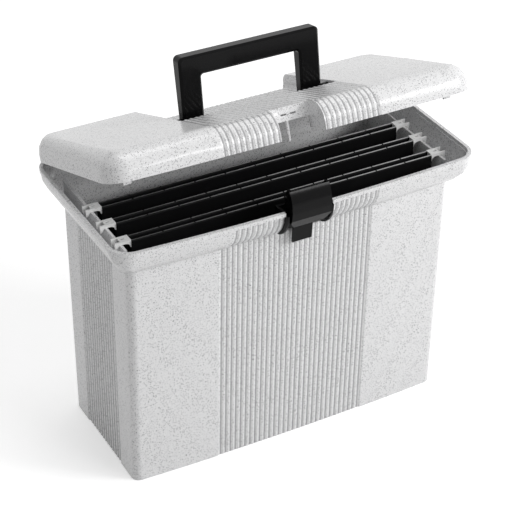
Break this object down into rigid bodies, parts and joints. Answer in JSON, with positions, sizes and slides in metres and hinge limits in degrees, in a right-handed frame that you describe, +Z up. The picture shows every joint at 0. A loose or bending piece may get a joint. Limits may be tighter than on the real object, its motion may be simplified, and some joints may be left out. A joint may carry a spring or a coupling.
{
  "type": "portable file box",
  "caption": "Upright plastic file box with flared rim, fluted bands, hinged lid with folding carry handle, front lever latch and hanging folders inside.",
  "frame": {"origin": "centre of the tub's flat underside", "axes": "+Z up, +X along the long side towards the right seen from the front, front with the latch at -Y"},
  "size_m": [0.3548, 0.1894, 0.3673],
  "materials": {
    "speckled_grey": "pale grey injection-moulded plastic with fine dark speckles, semi-gloss at a low angle",
    "black_plastic": "smooth black moulded plastic",
    "steel": "plain drawn steel",
    "white_plastic": "smooth white moulded plastic",
    "black_card": "matt black folder card"
  },
  "bodies": {
    "tub": {"tub": "speckled_grey", "left_hinge_pin": "steel", "right_hinge_pin": "steel", "latch_bracket": "black_plastic", "latch_pin": "steel"},
    "lid": {"lid": "speckled_grey"},
    "handle": {"handle": "black_plastic"},
    "latch_lever": {"latch_lever": "black_plastic"},
    "front_folder": {"front_folder_sheet": "black_card", "front_folder_front_rod": "steel", "front_folder_front_hooks": "white_plastic", "front_folder_back_rod": "steel", "front_folder_back_hooks": "white_plastic"},
    "middle_folder": {"middle_folder_sheet": "black_card", "middle_folder_front_rod": "steel", "middle_folder_front_hooks": "white_plastic", "middle_folder_back_rod": "steel", "middle_folder_back_hooks": "white_plastic"},
    "rear_folder": {"rear_folder_sheet": "black_card", "rear_folder_front_rod": "steel", "rear_folder_front_hooks": "white_plastic", "rear_folder_back_rod": "steel", "rear_folder_back_hooks": "white_plastic"}
  },
  "joints": [
    {"name": "lid_hinge", "type": "hinge", "parent": "tub", "child": "lid", "pos_m": [0, 0.0887, 0.261], "axis": [-1, 0, 0], "range_deg": [-20.3, 85]},
    {"name": "handle_fold", "type": "hinge", "parent": "lid", "child": "handle", "pos_m": [0, 0.01092, 0.30843], "axis": [-1, 0, 0], "range_deg": [0, 100]},
    {"name": "latch_swing", "type": "hinge", "parent": "tub", "child": "latch_lever", "pos_m": [0, -0.088, 0.25], "axis": [1, 0, 0], "range_deg": [-24, 5]},
    {"name": "front_folder_slide", "type": "slide", "parent": "tub", "child": "front_folder", "axis": [0, 1, 0], "range_m": [-0.006, 0.018]},
    {"name": "middle_folder_slide", "type": "slide", "parent": "tub", "child": "middle_folder", "axis": [0, 1, 0], "range_m": [-0.018, 0.0175]},
    {"name": "rear_folder_slide", "type": "slide", "parent": "tub", "child": "rear_folder", "axis": [0, 1, 0], "range_m": [-0.0175, 0.047]}
  ]
}
